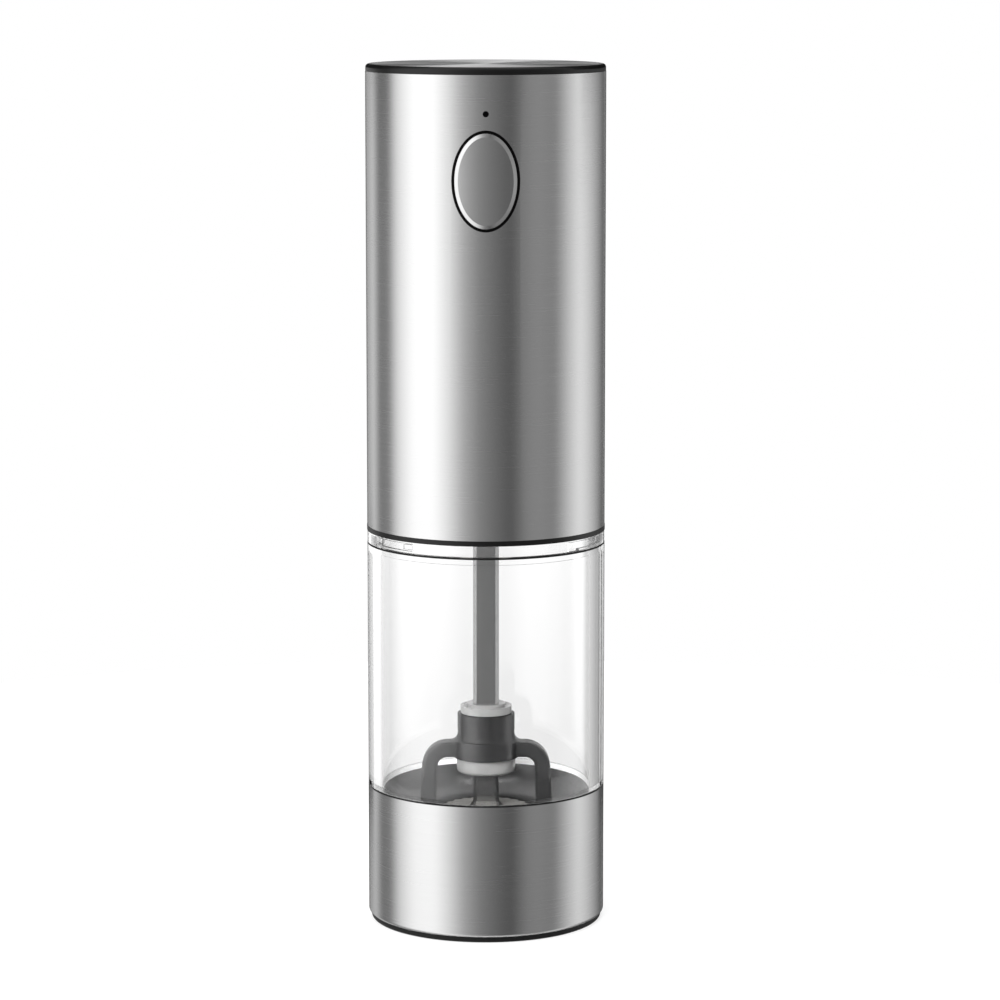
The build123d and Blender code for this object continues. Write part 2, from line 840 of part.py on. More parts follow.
def make_chassis_half(side):
    """One half of the inner frame: side -1 is the front, +1 the rear."""
    near = side * fit_gap / 2
    far = side * body_diameter
    shell = tube(inner_fit, chassis_inner, floor_top, chassis_top)
    shell = shell + rod(chassis_inner + fit_gap, shelf_low, shelf_top)
    cradle_low = lid_top + motor_can_length * cradle_share
    shell = shell + tube(chassis_inner + fit_gap, motor_radius + fit_gap,
                         cradle_low, cradle_low + cradle_height)
    shell = shell - rod(case_radius + fit_gap, floor_top, lid_top)
    half_space = block(-body_diameter, body_diameter, min(near, far), max(near, far), 0, total_height)
    half = shell & half_space
    for x, level in chassis_boss_places():
        post = rod_along_y(boss_radius, x, level, min(near, side * boss_depth), max(near, side * boss_depth))
        half = half + (post & rod(inner_fit, floor_top, chassis_top))
    for x, level in chassis_boss_places():
        half = half - rod_along_y(chassis_screw_radius + fit_gap, x, level, -boss_depth - overrun,
                                  boss_depth - chassis_wall)
    return half


def make_rails(side, outer, board_face, low, high):
    """Two posts that carry a board, from the chassis wall to the board's face."""
    inner = outer - rail_width
    near = min(side * inner_fit, board_face)
    far = max(side * inner_fit, board_face)
    rails = block(-outer, -inner, near, far, low, high) + block(inner, outer, near, far, low, high)
    return rails & rod(chassis_inner + chassis_wall / 2, low, high)


def make_chassis_front():
    half = make_chassis_half(-1) + make_rails(-1, board_width / 2, board_front, board_low, board_top)
    half = half - (button_oval(bezel_flange + fit_gap) - rod(-board_front, 0, total_height))
    half = half - rod_along_y(light_diameter / 2 + fit_gap, 0, light_height, -body_radius, board_front)
    half = half - block(-board_width / 2 - fit_gap, board_width / 2 + fit_gap, board_front,
                        board_back + fit_gap, board_low - fit_gap, board_top + fit_gap)
    lead_hole = rod(lead_radius + lead_gap, shelf_low - overrun, shelf_top + overrun)
    for x in (-terminal_spread, terminal_spread):
        half = half - Pos(x, -terminal_setback, 0) * lead_hole
    for x, level in board_screw_places():
        half = half - rod_along_y(board_screw_radius + fit_gap, x, level,
                                  board_front - board_screw_grip, board_front)
    return half


def make_chassis_rear():
    half = make_chassis_half(1) + make_rails(1, charge_board_width / 2, port_front, charge_low, charge_top)
    half = half - port_solid(port_margin, charge_back, body_radius + overrun)
    reach = charge_board_width / 2 + fit_gap
    return half - block(-reach, reach, charge_back - fit_gap, port_front,
                        charge_low - fit_gap, charge_top + fit_gap)


def make_chassis_screws():
    length = 2 * boss_depth - 2 * chassis_wall
    upright = screw(0, 0, -length, length, chassis_screw_radius,
                    chassis_screw_head_radius, chassis_screw_head_height)
    return group(Pos(x, -boss_depth, level) * Rot(90, 0, 0) * upright for x, level in chassis_boss_places())


# Gearbox

def gearbox_screw_holes(low, high):
    hole = Pos(gearbox_screw_circle, 0, 0) * rod(gearbox_screw_radius + fit_gap, low, high)
    return around(hole, gearbox_screw_count, first_planet_angle)


def make_gearbox_case():
    case = rod(case_radius, case_low, case_top)
    teeth = gear_outline(ring_teeth, gear_backlash / 2, dedendum_share, addendum_share)
    floor = case_low + case_floor
    case = case - Pos(0, 0, floor) * extrude(teeth, case_top - floor + overrun)
    case = case - rod(bearing_outer_radius, case_low - overrun, floor + overrun)
    for hole in gearbox_screw_holes(case_low - overrun, case_top + overrun):
        case = case - hole
    return case


def make_output_bearing():
    return tube(bearing_outer_radius - fit_gap, socket_radius + shaft_gap, case_low, case_low + case_floor)


def make_gearbox_lid():
    lid = tube(case_radius, motor_boss_radius + fit_gap, case_top, lid_top)
    for hole in gearbox_screw_holes(case_top - overrun, lid_top + overrun):
        lid = lid - hole
    for x in (-motor_screw_spread, motor_screw_spread):
        shank = rod(motor_screw_radius + fit_gap, case_top - overrun, lid_top + overrun)
        head = rod(motor_screw_head_radius + fit_gap, case_top - overrun, case_top + motor_screw_head_height)
        lid = lid - Pos(x, 0, 0) * (shank + head)
    return lid


def make_gearbox_screws():
    length = lid_top - floor_low - sleeve_wall
    one = screw(gearbox_screw_circle, 0, lid_top - length, length, gearbox_screw_radius,
                gearbox_screw_head_radius, gearbox_screw_head_height)
    return group(around(one, gearbox_screw_count, first_planet_angle))


def make_carrier(low, pin_top):
    """A carrier disc with its three planet pins standing on it."""
    carrier = rod(carrier_diameter / 2, low, low + carrier_height)
    pin = Pos(gear_centre, 0, 0) * rod(pin_radius, low + carrier_height, pin_top)
    for post in around(pin, planet_count, first_planet_angle):
        carrier = carrier + post
    return carrier


def make_output_carrier():
    hub = rod(socket_radius, socket_low, carrier_2_low)
    carrier = make_carrier(carrier_2_low, carrier_1_low - pin_end_gap) + hub
    return carrier - square_bar(socket_low - overrun, carrier_2_low, fit_gap)


def make_carrier_1():
    sun = Rot(0, 0, 180 / sun_teeth) * gear(sun_teeth, planet_2_low, carrier_1_low)
    return make_carrier(carrier_1_low, case_top - pin_end_gap) + sun


def make_planet(low, angle):
    """A planet gear on its carrier's circle, one tooth pointing straight out into the ring gear."""
    wheel = gear(planet_teeth, low, low + planet_width)
    wheel = wheel - rod(pin_radius + shaft_gap, low - overrun, low + planet_width + overrun)
    return Rot(0, 0, angle) * Pos(gear_centre, 0, 0) * wheel


def make_sun_gear():
    wheel = Rot(0, 0, 180 / sun_teeth) * gear(sun_teeth, planet_1_low, planet_1_top)
    return wheel - rod(motor_shaft_radius + fit_gap, planet_1_low - overrun, planet_1_top + overrun)


# Motor

def make_motor_can():
    can = tube(motor_radius, motor_radius - motor_wall, lid_top, can_top)
    can = can + rod(motor_radius, lid_top, lid_top + motor_wall)
    can = can + rod(motor_boss_radius, (case_top + lid_top) / 2, lid_top)
    can = can - rod(motor_shaft_radius + shaft_gap, case_top, lid_top + motor_wall + overrun)
    hole = rod(motor_screw_radius + fit_gap, lid_top - overrun, lid_top + motor_wall + overrun)
    return can - Pos(motor_screw_spread, 0, 0) * hole - Pos(-motor_screw_spread, 0, 0) * hole


def make_motor_end_bell():
    bell = rod(motor_radius, can_top, motor_top)
    bell = bell - rod(motor_shaft_radius + shaft_gap, can_top - overrun, motor_top + overrun)
    return bell - rod(commutator_radius + run_gap, can_top - overrun, can_top + bell_cavity_depth)


def make_motor_magnets():
    outer = motor_radius - motor_wall - fit_gap
    low = lid_top + motor_wall + magnet_end_gap
    one = sector_ring(outer, outer - magnet_height, low, can_top - magnet_end_gap,
                      90 - magnet_angle / 2, magnet_angle)
    return group([one, Rot(0, 0, 180) * one])


def make_motor_terminals():
    one = Pos(terminal_spread, -terminal_setback, 0) * block(-terminal_thickness / 2, terminal_thickness / 2,
                                                            -terminal_width / 2, terminal_width / 2,
                                                            motor_top, motor_top + terminal_height)
    return group([one, Pos(-2 * terminal_spread, 0, 0) * one])


def make_motor_screws():
    tip = lid_top + motor_wall
    length = tip - case_top - motor_screw_head_height
    upright = screw(0, 0, -length, length, motor_screw_radius, motor_screw_head_radius,
                    motor_screw_head_height - fit_gap)
    seat = case_top + motor_screw_head_height
    seated = Pos(0, 0, seat) * Rot(180, 0, 0) * upright
    return group(Pos(x, 0, 0) * seated for x in (-motor_screw_spread, motor_screw_spread))


def make_motor_shaft():
    return rod(motor_shaft_radius, planet_1_low, motor_top - fit_gap)


def make_armature():
    core = rod(armature_core_radius, armature_low, armature_top)
    arm = block(0, armature_radius - armature_crown / 2, -armature_arm_width / 2, armature_arm_width / 2,
                armature_low, armature_top)
    crown = sector_ring(armature_radius, armature_radius - armature_crown, armature_low, armature_top,
                        90 - armature_crown_angle / 2, armature_crown_angle)
    for pole in around(arm + crown, armature_poles):
        core = core + pole
    return core - rod(motor_shaft_radius + fit_gap, armature_low - overrun, armature_top + overrun)


def make_windings():
    """One flat bundle of wire round each pole's arm."""
    half_width = armature_arm_width / 2 + winding_width
    crown_inner = armature_radius - armature_crown - winding_gap
    near = armature_core_radius + winding_gap
    far = sqrt(crown_inner ** 2 - half_width ** 2)
    bundle = block(near, far, -half_width, half_width,
                   armature_low - winding_overhang, armature_top + winding_overhang)
    slot = armature_arm_width / 2 + fit_gap
    bundle = bundle - block(near - overrun, far + overrun, -slot, slot,
                            armature_low - fit_gap, armature_top + fit_gap)
    return group(around(bundle, armature_poles))


def make_commutator():
    low = armature_top + winding_overhang + commutator_gap
    return tube(commutator_radius, motor_shaft_radius + fit_gap, low, low + commutator_length)


# Battery, boards, button and light

def make_battery_cells():
    one = rod(cell_radius, cell_low, cell_top) + rod(cell_cap_radius, cell_top, cell_top + cell_cap_height)
    return group(Pos(x, cell_setback, 0) * one for x in (-cell_offset, cell_offset))


def make_battery_straps():
    reach = cell_offset + strap_width / 2
    low_strap = block(-reach, reach, -strap_width / 2, strap_width / 2, shelf_top, cell_low)
    high = cell_top + cell_cap_height
    high_strap = block(-reach, reach, -strap_width / 2, strap_width / 2, high, high + strap_thickness)
    return group(Pos(0, cell_setback, 0) * strap for strap in (low_strap, high_strap))


def board_screw_places():
    reach = board_width / 2 - rail_width / 2
    return [(side * reach, level) for side in (-1, 1)
            for level in (board_low + board_screw_inset, board_top - board_screw_inset)]


def make_circuit_board():
    board = block(-board_width / 2, board_width / 2, board_front, board_back, board_low, board_top)
    for x, level in board_screw_places():
        board = board - rod_along_y(board_screw_radius + fit_gap, x, level,
                                    board_front - overrun, board_back + overrun)
    return board


def make_board_screws():
    length = board_thickness + board_screw_grip - fit_gap
    upright = screw(0, 0, -length, length, board_screw_radius,
                    board_screw_head_radius, board_screw_head_height)
    return group(Pos(x, board_back, level) * Rot(-90, 0, 0) * upright for x, level in board_screw_places())


def make_switch_base():
    half = switch_width / 2
    base = block(-half, half, switch_face, board_front, button_height - half, button_height + half)
    return base - rod_along_y(plunger_radius + shaft_gap, 0, button_height, switch_face - overrun,
                              switch_face + plunger_engage + button_travel + plunger_end_gap)


def make_switch_plunger():
    return rod_along_y(plunger_radius, 0, button_height, plunger_front, switch_face + plunger_engage)


def make_status_led():
    half = led_width / 2
    return block(-half, half, board_front - led_depth, board_front,
                 light_height - half / 2, light_height + half / 2)


def make_light_pipe():
    inner_end = board_front - led_depth - fit_gap
    pipe = rod_along_y(light_diameter / 2 - fit_gap, 0, light_height, -body_radius + fit_gap, inner_end)
    flange_front = -chassis_inner + run_gap
    flange = rod_along_y(pipe_flange_radius, 0, light_height, flange_front, flange_front + pipe_flange_depth)
    return pipe + flange


def make_button_bezel():
    inner = button_oval(-button_outline + button_gap)
    wall = (button_oval(0) - inner) & tube(body_radius - fit_gap, bezel_inner, 0, total_height)
    flange_outer = sleeve_inner - fit_gap
    flange_band = tube(flange_outer, flange_outer - bezel_flange_height, 0, total_height)
    return wall + ((button_oval(bezel_flange) - inner) & flange_band)


def make_button_cap():
    outer = body_radius + button_proud
    cap = button_oval(-button_outline) & tube(outer, cap_inner, 0, total_height)
    front = cap.faces().sort_by(Axis.Y)[0]
    cap = chamfer(front.edges(), button_bevel_width, button_bevel_depth, reference=front)
    flange_outer = bezel_inner - run_gap
    cap = cap + (button_oval(button_flange - button_outline) & tube(flange_outer, cap_inner, 0, total_height))
    cap = cap - (button_oval(-button_outline - button_wall) & rod(outer - button_plate, 0, total_height))
    stem = rod_along_y(stem_radius, 0, button_height, -outer + button_plate / 2, plunger_front - fit_gap)
    return cap + stem


def make_charge_board():
    half = charge_board_width / 2
    return block(-half, half, charge_back, port_front, charge_low, charge_top)


def make_charge_socket():
    shell = port_solid(0, port_front, port_mouth)
    shell = shell - port_solid(-port_wall, port_front + port_wall, port_mouth + overrun)
    tongue = block(-port_tongue_width / 2, port_tongue_width / 2, port_front, port_front + port_tongue_depth,
                   port_height - port_tongue_height / 2, port_height + port_tongue_height / 2)
    return shell + tongue


def make_leads():
    """A lead from each motor terminal up through the shelf and forward to the circuit board's back."""
    foot = motor_top + terminal_height
    turn = max(board_low + lead_rise, foot + 2 * lead_bend_radius)
    leads = []
    for x in (-terminal_spread, terminal_spread):
        path = FilletPolyline((x, -terminal_setback, foot), (x, -terminal_setback, turn),
                              (x, board_back, turn), radius=lead_bend_radius)
        section = Pos(x, -terminal_setback, foot) * Circle(lead_radius)
        leads.append(sweep(section, path=path))
    return group(leads)


os.makedirs("parts", exist_ok=True)

write("foot_ring", make_foot_ring())
write("base_sleeve", make_base_sleeve())
write("base_core", make_base_core())
write("base_screws", make_base_screws())
write("seam_gasket", make_seam_gasket())
write("jar", make_jar())
write("jar_seal", make_jar_seal())
write("burr_housing", make_burr_housing())
write("stator_burr", make_stator_burr())
write("rotor_burr", make_rotor_burr())
write("rotor_clip", make_rotor_clip())
write("adjust_knob", make_adjust_knob())
write("drive_shaft", make_drive_shaft())
write("upper_bush", make_upper_bush())
write("lower_bush", make_lower_bush())
write("neck_ring", make_neck_ring())
write("head_ring", make_head_ring())
write("head_floor", make_head_floor())
write("floor_seal", make_floor_seal())
write("head_sleeve", make_head_sleeve())
write("top_cap", make_top_cap())
write("top_disc", make_top_disc())
write("chassis_front", make_chassis_front())
write("chassis_rear", make_chassis_rear())
write("chassis_screws", make_chassis_screws())
write("gearbox_case", make_gearbox_case())
write("gearbox_lid", make_gearbox_lid())
write("gearbox_screws", make_gearbox_screws())
write("output_bearing", make_output_bearing())
write("output_carrier", make_output_carrier())
write("carrier_1", make_carrier_1())
for letter, angle in zip("abc", (first_planet_angle + 360 * k / planet_count for k in range(planet_count))):
    write("planet_1_" + letter, make_planet(planet_1_low, angle))
    write("planet_2_" + letter, make_planet(planet_2_low, angle))
write("sun_gear", make_sun_gear())
write("motor_can", make_motor_can())
write("motor_end_bell", make_motor_end_bell())
write("motor_magnets", make_motor_magnets())
write("motor_terminals", make_motor_terminals())
write("motor_screws", make_motor_screws())
write("motor_shaft", make_motor_shaft())
write("armature", make_armature())
write("windings", make_windings())
write("commutator", make_commutator())
write("battery_cells", make_battery_cells())
write("battery_straps", make_battery_straps())
write("circuit_board", make_circuit_board())
write("board_screws", make_board_screws())
write("switch_base", make_switch_base())
write("switch_plunger", make_switch_plunger())
write("status_led", make_status_led())
write("light_pipe", make_light_pipe())
write("button_bezel", make_button_bezel())
write("button_cap", make_button_cap())
write("charge_board", make_charge_board())
write("charge_socket", make_charge_socket())
write("leads", make_leads())
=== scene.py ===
import json
import math

import bmesh
import bpy
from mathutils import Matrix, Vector


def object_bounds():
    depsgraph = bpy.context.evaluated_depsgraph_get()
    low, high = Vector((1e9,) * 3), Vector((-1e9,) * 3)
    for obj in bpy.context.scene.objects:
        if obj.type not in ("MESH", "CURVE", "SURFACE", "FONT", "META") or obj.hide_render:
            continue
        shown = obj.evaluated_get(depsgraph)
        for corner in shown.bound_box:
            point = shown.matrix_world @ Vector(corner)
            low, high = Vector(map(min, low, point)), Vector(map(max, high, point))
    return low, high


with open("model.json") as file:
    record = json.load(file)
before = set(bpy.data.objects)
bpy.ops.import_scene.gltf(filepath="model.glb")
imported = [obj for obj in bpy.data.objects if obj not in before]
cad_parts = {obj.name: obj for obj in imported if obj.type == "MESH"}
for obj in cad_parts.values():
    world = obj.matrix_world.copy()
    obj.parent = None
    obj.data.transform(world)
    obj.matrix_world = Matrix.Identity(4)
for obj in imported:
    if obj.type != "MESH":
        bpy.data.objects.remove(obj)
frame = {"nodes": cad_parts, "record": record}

cad_low, cad_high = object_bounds()
mm = 0.001

# Camera, in metres, at the photograph's viewing angle
camera_place = Vector((0.0, -0.830, 0.216))
camera_aim = Vector((0.00308, 0.0, 0.0930))
camera_lens = 137.9
sensor_width = 36.0

# Floor
floor_radius = 0.30
floor_grain = 400.0
floor_tone = 0.86
floor_spread = 0.01
floor_white = 1.06
floor_white_share = 0.72

# Light tent: a wall round the object, a little darker below a range of heights
tent_radius = 0.42
tent_low = -1.00
tent_top = 0.80
tent_strength = 1.75
tent_sides = 96
tent_shade_heights = (-0.08, 0.02)
tent_shade_share = 0.85
# Light level of the tent's wall, by the angle from the camera's side towards +X, in degrees
tent_levels = (
    (-180.0, 0.61), (-156.0, 0.62), (-148.0, 0.68), (-136.0, 0.74), (-121.0, 0.17), (-105.0, 0.17),
    (-91.0, 0.66), (-72.0, 0.96), (-50.0, 0.98), (-37.0, 0.73), (-21.0, 0.35), (-6.0, 0.19), (10.0, 0.12),
    (24.0, 0.07), (40.0, 0.20), (52.0, 0.21), (68.0, 0.17), (88.0, 0.52), (100.0, 0.70), (112.0, 0.60),
    (128.0, 0.42), (139.0, 0.31), (146.0, 0.22), (153.0, 0.18), (160.0, 0.61), (180.0, 0.61),
)

# Cards that show in reflections alone: two angles, two heights and a light level for each
card_radius = 0.41
card_steps = 16
card_grain = 20.0
card_dark_share = 0.95
cards = {
    "left_edge_card": (-180.0, -160.0, -1.00, 0.18, 0.14),
    "right_edge_card": (160.0, 180.0, -1.00, 0.18, 0.06),
    "left_jar_card": (-160.0, -140.0, -0.064, 0.017, 0.02),
    "right_jar_card": (140.0, 160.0, -0.064, 0.017, 0.02),
    "left_top_card": (-172.0, -100.0, 0.19, 0.80, 0.01),
    "right_top_card": (100.0, 172.0, 0.19, 0.80, 0.01),
}

# Lamps
ceiling_place = Vector((0.0, 0.0, 0.95))
ceiling_width = 0.60
ceiling_watts = 6.0
fill_place = Vector((-0.25, -0.85, 0.55))
fill_width = 0.40
fill_watts = 6.0

# Values that finishes share; grains are counted per metre
noise_range = (0.3, 0.7)
brush_detail = 4.0
brush_breakup = 0.65
brush_relief = 0.35
brush_turn = 0.25
brush_edge = 0.45
mould_relief = 0.4
blotch_grains = 12
blotch_detail = 2.0
edge_gloss_range = (0.4, 0.8)

# Clear plastic
clear_tone = 0.995
clear_index = 1.49
swirl_scales = (60.0, 60.0, 18.0)
swirl_detail = 2.0
swirl_rough = (0.0, 0.03)
swirl_depth = 0.02 * mm
swirl_relief = 0.25

# Ceramic
ceramic_dark = (0.17, 0.166, 0.154)
ceramic_light = (0.25, 0.245, 0.23)
ceramic_gloss = 0.35
ceramic_grain = 2600.0
ceramic_detail = 4.0
ceramic_rough = (0.55, 0.75)
ceramic_depth = 0.06 * mm
ceramic_relief = 0.5

# Painted light inside the base sleeve and the gasket on it: a pale coat that glows, standing in for the light
# seen there through the jar's foot, up to radii just outside their inner faces
painted_light_margin = 0.4 * mm
sleeve_painted_light_radius = cad_high.x - painted_light_margin
gasket_painted_light_radius = frame["nodes"]["seam_gasket"].dimensions.x / 2 - painted_light_margin
painted_light_grain = 300.0
painted_light_tones = (0.90, 0.95)
painted_light_rough = 0.45
# Painted glow: the coat gives off light of its own, though it is no lamp
painted_glow = 0.35


# Helpers for materials

def grey(level):
    """A colour with one level for red, green and blue."""
    return (level, level, level)


def even(grain):
    """Scales for a grain that is alike along X, Y and Z."""
    return (grain, grain, grain)


def shade(colour, share):
    return tuple(channel * share for channel in colour)


def add(tree, kind, inputs=None, **settings):
    """A node with its settings, and with a value or a link for each of the named sockets."""
    made = tree.nodes.new(kind)
    for name, value in settings.items():
        setattr(made, name, value)
    for name, value in (inputs or {}).items():
        if isinstance(value, bpy.types.NodeSocket):
            tree.links.new(value, made.inputs[name])
        else:
            made.inputs[name].default_value = value
    return made


def work_out(tree, operation, first, second):
    """The result of a sum on two sockets or values."""
    return add(tree, "ShaderNodeMath", {0: first, 1: second}, operation=operation).outputs[0]


def mix(tree, share, first, second):
    """A shader that passes from one shader to another as a share grows from 0 to 1."""
    return add(tree, "ShaderNodeMixShader", {0: share, 1: first.outputs[0], 2: second.outputs[0]})


def show(tree, shader):
    """Makes a shader the one that the material shows."""
    tree.links.new(shader.outputs[0], tree.nodes["Material Output"].inputs["Surface"])


def new_finish(name, **values):
    """A material, its node tree and its shader, with the values that are the same all over."""
    material = bpy.data.materials.new(name)
    material.use_nodes = True
    tree = material.node_tree
    shader = tree.nodes["Principled BSDF"]
    for socket, value in values.items():
        shader.inputs[socket.replace("_", " ").title().replace("Ior", "IOR")].default_value = value
    return material, tree, shader


def bare_finish(name):
    """A material and its node tree, without a shader."""
    material, tree, shader = new_finish(name)
    tree.nodes.remove(shader)
    return material, tree


def noise(tree, scales, detail=3.0, breakup=0.55):
    """Noise over the piece, with its own number of grains per metre along X, Y and Z."""
    place = add(tree, "ShaderNodeTexCoord")
    stretch = add(tree, "ShaderNodeMapping", {"Vector": place.outputs["Object"], "Scale": scales})
    grain = add(tree, "ShaderNodeTexNoise", {"Vector": stretch.outputs["Vector"], "Scale": 1.0,
                                             "Detail": detail, "Roughness": breakup})
    return grain.outputs["Fac"]


def span(tree, source, ends, reach=noise_range):
    """Maps a range of a socket's values, such as a noise, onto another range."""
    ranged = add(tree, "ShaderNodeMapRange", {"Value": source, "From Min": reach[0], "From Max": reach[1],
                                              "To Min": ends[0], "To Max": ends[1]})
    return ranged.outputs["Result"]


def tones(tree, source, dark, light):
    """Maps a noise onto a range of colours."""
    ramp = add(tree, "ShaderNodeValToRGB", {"Fac": source})
    for stop, position, colour in zip(ramp.color_ramp.elements, noise_range, (dark, light)):
        stop.position = position
        stop.color = (*colour, 1.0)
    return ramp.outputs["Color"]


def bump(tree, shader, source, depth, strength):
    """Raises the surface by a noise, up to a depth in metres."""
    relief = add(tree, "ShaderNodeBump", {"Height": source, "Strength": strength, "Distance": depth})
    tree.links.new(relief.outputs["Normal"], shader.inputs["Normal"])


# Finishes

def brushed(name, colour, scales, rough, spread, depth, anisotropic=0.0, turn=0.0, edge=1.0):
    """Metal with brush lines along the direction in which the noise is long, darker at grazing angles."""
    material, tree, shader = new_finish(name, metallic=1.0, anisotropic=anisotropic,
                                        anisotropic_rotation=turn, specular_tint=(*grey(edge), 1.0))
    lines = noise(tree, scales, brush_detail, brush_breakup)
    tree.links.new(tones(tree, lines, shade(colour, 1.0 - spread), shade(colour, 1.0 + spread)),
                   shader.inputs["Base Color"])
    tree.links.new(span(tree, lines, rough), shader.inputs["Roughness"])
    bump(tree, shader, lines, depth, brush_relief)
    if anisotropic:
        tangent = add(tree, "ShaderNodeTangent", direction_type="RADIAL", axis="Z")
        tree.links.new(tangent.outputs["Tangent"], shader.inputs["Tangent"])
    return material


def moulded(name, colour, grain, rough, depth, spread=0.12, edge_gloss=None, **values):
    """Plastic or rubber with a fine even texture, whose gloss can fall off at grazing angles."""
    material, tree, shader = new_finish(name, **values)
    fine = noise(tree, even(grain))
    broad = noise(tree, even(grain / blotch_grains), blotch_detail)
    tree.links.new(tones(tree, broad, shade(colour, 1.0 - spread), shade(colour, 1.0 + spread)),
                   shader.inputs["Base Color"])
    tree.links.new(span(tree, fine, rough), shader.inputs["Roughness"])
    bump(tree, shader, fine, depth, mould_relief)
    if edge_gloss is not None:
        gloss = shader.inputs["Specular IOR Level"]
        facing = add(tree, "ShaderNodeLayerWeight")
        falling = span(tree, facing.outputs["Facing"], (gloss.default_value, edge_gloss), edge_gloss_range)
        tree.links.new(falling, gloss)
    return material


def clear(name):
    """Clear moulded plastic: faint swirls in its gloss and a slight waviness. Light shines through it."""
    material, tree, shader = new_finish(name, base_color=(*grey(clear_tone), 1.0), ior=clear_index,
                                        transmission_weight=1.0)
    swirl = noise(tree, swirl_scales, swirl_detail)
    tree.links.new(span(tree, swirl, swirl_rough), shader.inputs["Roughness"])
    bump(tree, shader, swirl, swirl_depth, swirl_relief)
    path = add(tree, "ShaderNodeLightPath")
    through = add(tree, "ShaderNodeBsdfTransparent")
    show(tree, mix(tree, path.outputs["Is Shadow Ray"], shader, through))
    return material


def ceramic(name):
    """Unglazed ceramic: warm grey, finely speckled and dusty."""
    material, tree, shader = new_finish(name, specular_ior_level=ceramic_gloss)
    speck = noise(tree, even(ceramic_grain), ceramic_detail)
    tree.links.new(tones(tree, speck, ceramic_dark, ceramic_light), shader.inputs["Base Color"])
    tree.links.new(span(tree, speck, ceramic_rough), shader.inputs["Roughness"])
    bump(tree, shader, speck, ceramic_depth, ceramic_relief)
    return material


def add_painted_light(name, outside, radius):
    """A tube's finish, painted pale and glowing within a radius of its axis: painted light from the jar's
    foot.
    """
    material = outside.copy()
    material.name = name
    tree = material.node_tree
    blotch = noise(tree, even(painted_light_grain))
    dark, light = painted_light_tones
    # Painted light: a pale coat with a glow of its own
    painted_light_shader = add(tree, "ShaderNodeBsdfPrincipled", {"Base Color": tones(tree, blotch, grey(dark), grey(light)),
                                                  "Roughness": painted_light_rough,
                                                  "Emission Strength": painted_glow})
    place = add(tree, "ShaderNodeTexCoord")
    flat = add(tree, "ShaderNodeVectorMath", {0: place.outputs["Object"], 1: (1.0, 1.0, 0.0)},
               operation="MULTIPLY")
    reach = add(tree, "ShaderNodeVectorMath", {0: flat.outputs["Vector"]}, operation="LENGTH")
    beyond = work_out(tree, "GREATER_THAN", reach.outputs["Value"], radius)
    show(tree, mix(tree, beyond, painted_light_shader, tree.nodes["Principled BSDF"]))
    return material


metals = {
    "steel": dict(colour=grey(0.62), scales=(35.0, 35.0, 5200.0), rough=(0.22, 0.28), spread=0.018,
                  depth=0.0015 * mm, anisotropic=0.6, turn=brush_turn, edge=brush_edge),
    "top_steel": dict(colour=grey(0.66), scales=even(900.0), rough=(0.42, 0.50), spread=0.05,
                      depth=0.002 * mm, anisotropic=0.9, turn=brush_turn, edge=brush_edge),
    "shaft_steel": dict(colour=grey(0.46), scales=(4200.0, 4200.0, 50.0), rough=(0.220, 0.227), spread=0.03,
                        depth=0.0008 * mm),
    "button_metal": dict(colour=grey(0.60), scales=(60.0, 60.0, 4200.0), rough=(0.22, 0.26), spread=0.006,
                         depth=0.0004 * mm),
    "screw_steel": dict(colour=(0.55, 0.55, 0.54), scales=even(1500.0), rough=(0.25, 0.42), spread=0.08,
                        depth=0.01 * mm),
    "motor_steel": dict(colour=grey(0.46), scales=even(900.0), rough=(0.30, 0.46), spread=0.10,
                        depth=0.01 * mm),
    "copper": dict(colour=(0.62, 0.30, 0.16), scales=(700.0, 700.0, 4000.0), rough=(0.24, 0.38), spread=0.18,
                   depth=0.03 * mm),
    "bearing_bronze": dict(colour=(0.52, 0.36, 0.18), scales=even(2500.0), rough=(0.35, 0.52), spread=0.15,
                           depth=0.02 * mm),
    "strap_nickel": dict(colour=(0.58, 0.56, 0.51), scales=(300.0, 3000.0, 3000.0), rough=(0.22, 0.36),
                         spread=0.08, depth=0.01 * mm),
}
